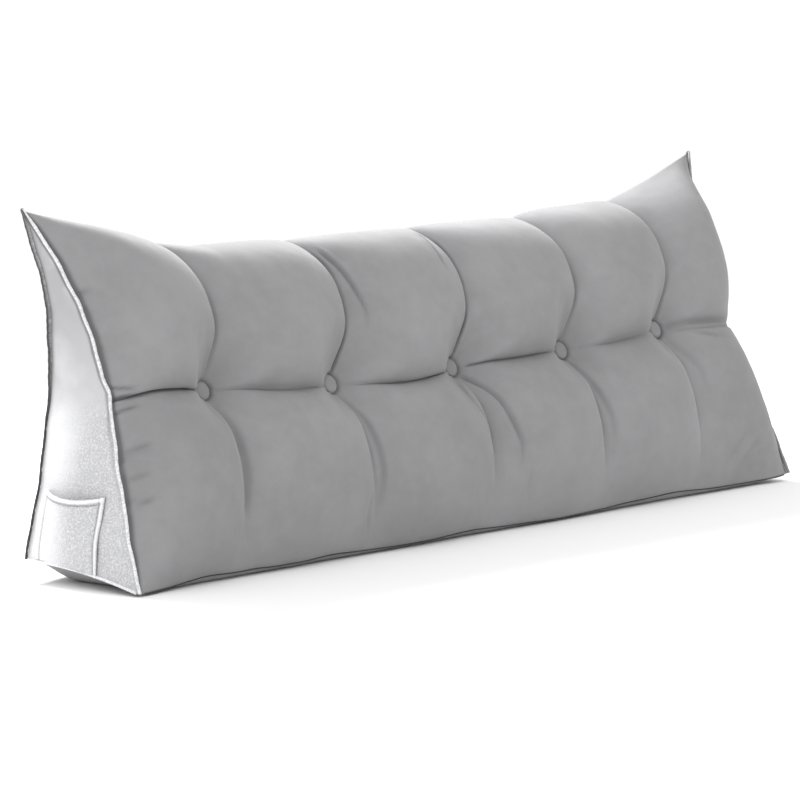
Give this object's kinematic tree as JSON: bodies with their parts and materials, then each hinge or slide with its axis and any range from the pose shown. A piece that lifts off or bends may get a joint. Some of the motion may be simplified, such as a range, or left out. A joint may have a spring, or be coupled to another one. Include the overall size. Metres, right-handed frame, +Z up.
{
  "type": "backrest pillow",
  "caption": "Long wedge-shaped backrest pillow with a button-tufted front, drawn-in piped ends with raised top corners, and a patch pocket on the left end.",
  "frame": {"origin": "on the base plane, under the middle of the pillow's box", "axes": "+X along the pillow to the viewer's right when facing the tufted front, -Y out of the tufted front, +Z up"},
  "size_m": [1.5082, 0.2468, 0.5055],
  "materials": {
    "napped_cloth": "mid grey short-napped cloth, soft and matt with a faint sheen on the ridges",
    "end_cloth": "light grey cloth, matt, nubby near the base",
    "piping_cloth": "light grey cloth-covered cord, matt"
  },
  "bodies": {
    "root": {"cushion": "napped_cloth", "end_panel_left": "end_cloth", "end_panel_right": "end_cloth", "piping_left": "piping_cloth", "piping_right": "piping_cloth", "pocket_left": "end_cloth", "button_1": "napped_cloth", "button_2": "napped_cloth", "button_3": "napped_cloth", "button_4": "napped_cloth", "button_5": "napped_cloth"}
  },
  "joints": []
}
